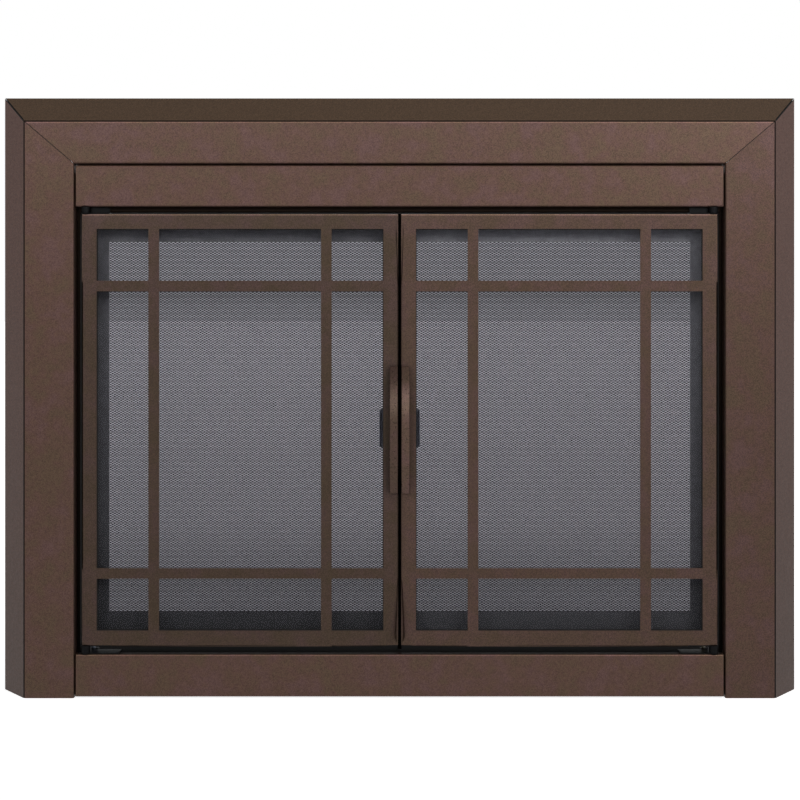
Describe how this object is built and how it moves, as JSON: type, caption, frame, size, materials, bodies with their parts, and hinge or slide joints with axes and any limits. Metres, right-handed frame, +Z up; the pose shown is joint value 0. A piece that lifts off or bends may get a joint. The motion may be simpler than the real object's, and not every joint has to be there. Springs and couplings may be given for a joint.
{
  "type": "fireplace glass door",
  "caption": "Cabinet-style fireplace door in bronze powder-coated steel: bevelled surround, hinged smoked-glass doors with muntin grids and bow pulls, and hinged mesh gates behind them.",
  "frame": {"origin": "on the hearth, under the middle of the bounding box: centred between the jambs, half way from the front of the handles to the back of the lintel clamps", "axes": "+X to the right seen from the room, +Y back into the fireplace, +Z up"},
  "size_m": [1.105, 0.1406, 0.827],
  "materials": {
    "bronze_powder_coat": "satin brown-bronze powder coat with fine metallic speckle",
    "dark_inner_steel": "the same coat, thinner and in shadow",
    "black_hinge_steel": "satin black paint",
    "smoked_glass": "clear polished tempered glass with a grey smoke tint",
    "glass_fibre_gasket": "black woven tape",
    "grey_gate_steel": "matt charcoal high-heat paint",
    "expanded_mesh": "matt charcoal high-heat paint on expanded metal",
    "zinc_plated_steel": "bright zinc plate",
    "black_plastic": "moulded, dull black"
  },
  "bodies": {
    "surround": {"top_trim": "bronze_powder_coat", "header_panel": "bronze_powder_coat", "bottom_rail": "bronze_powder_coat", "top_channel": "dark_inner_steel", "bottom_channel": "dark_inner_steel", "left_jamb": "bronze_powder_coat", "left_post": "dark_inner_steel", "left_corner_bracket": "dark_inner_steel", "left_frame_top_hinge": "black_hinge_steel", "left_frame_bottom_hinge": "black_hinge_steel", "left_magnetic_catch": "black_plastic", "left_gate_top_bush": "black_plastic", "left_gate_bottom_bush": "black_plastic", "left_lintel_clamp": "zinc_plated_steel", "left_clamp_bolt": "zinc_plated_steel", "left_clamp_screw": "zinc_plated_steel", "left_floor_bracket": "zinc_plated_steel", "left_floor_screw": "zinc_plated_steel", "right_jamb": "bronze_powder_coat", "right_post": "dark_inner_steel", "right_corner_bracket": "dark_inner_steel", "right_frame_top_hinge": "black_hinge_steel", "right_frame_bottom_hinge": "black_hinge_steel", "right_magnetic_catch": "black_plastic", "right_gate_top_bush": "black_plastic", "right_gate_bottom_bush": "black_plastic", "right_lintel_clamp": "zinc_plated_steel", "right_clamp_bolt": "zinc_plated_steel", "right_clamp_screw": "zinc_plated_steel", "right_floor_bracket": "zinc_plated_steel", "right_floor_screw": "zinc_plated_steel"},
    "left_door": {"left_door_frame": "bronze_powder_coat", "left_door_gasket": "glass_fibre_gasket", "left_door_glass": "smoked_glass", "left_glass_retainer": "black_hinge_steel", "left_door_handle": "bronze_powder_coat", "left_lower_handle_screw": "zinc_plated_steel", "left_upper_handle_screw": "zinc_plated_steel", "left_door_top_hinge": "black_hinge_steel", "left_door_bottom_hinge": "black_hinge_steel"},
    "left_gate": {"left_gate_frame": "grey_gate_steel", "left_gate_mesh": "expanded_mesh", "left_gate_pull": "black_hinge_steel", "left_gate_top_pin": "zinc_plated_steel", "left_gate_bottom_pin": "zinc_plated_steel", "left_gate_meeting_strip": "grey_gate_steel"},
    "right_door": {"right_door_frame": "bronze_powder_coat", "right_door_gasket": "glass_fibre_gasket", "right_door_glass": "smoked_glass", "right_glass_retainer": "black_hinge_steel", "right_door_handle": "bronze_powder_coat", "right_lower_handle_screw": "zinc_plated_steel", "right_upper_handle_screw": "zinc_plated_steel", "right_door_top_hinge": "black_hinge_steel", "right_door_bottom_hinge": "black_hinge_steel"},
    "right_gate": {"right_gate_frame": "grey_gate_steel", "right_gate_mesh": "expanded_mesh", "right_gate_pull": "black_hinge_steel", "right_gate_top_pin": "zinc_plated_steel", "right_gate_bottom_pin": "zinc_plated_steel"}
  },
  "joints": [
    {"name": "left_door_hinge", "type": "hinge", "parent": "surround", "child": "left_door", "pos_m": [-0.4298, -0.037, 0.3668], "axis": [0, 0, -1], "range_deg": [0, 110]},
    {"name": "right_door_hinge", "type": "hinge", "parent": "surround", "child": "right_door", "pos_m": [0.4298, -0.037, 0.3668], "axis": [0, 0, 1], "range_deg": [0, 110]},
    {"name": "left_gate_hinge", "type": "hinge", "parent": "surround", "child": "left_gate", "pos_m": [-0.424, -0.0085, 0.363], "axis": [0, 0, 1], "range_deg": [0, 90]},
    {"name": "right_gate_hinge", "type": "hinge", "parent": "surround", "child": "right_gate", "pos_m": [0.424, -0.0085, 0.363], "axis": [0, 0, -1], "range_deg": [0, 90]}
  ]
}
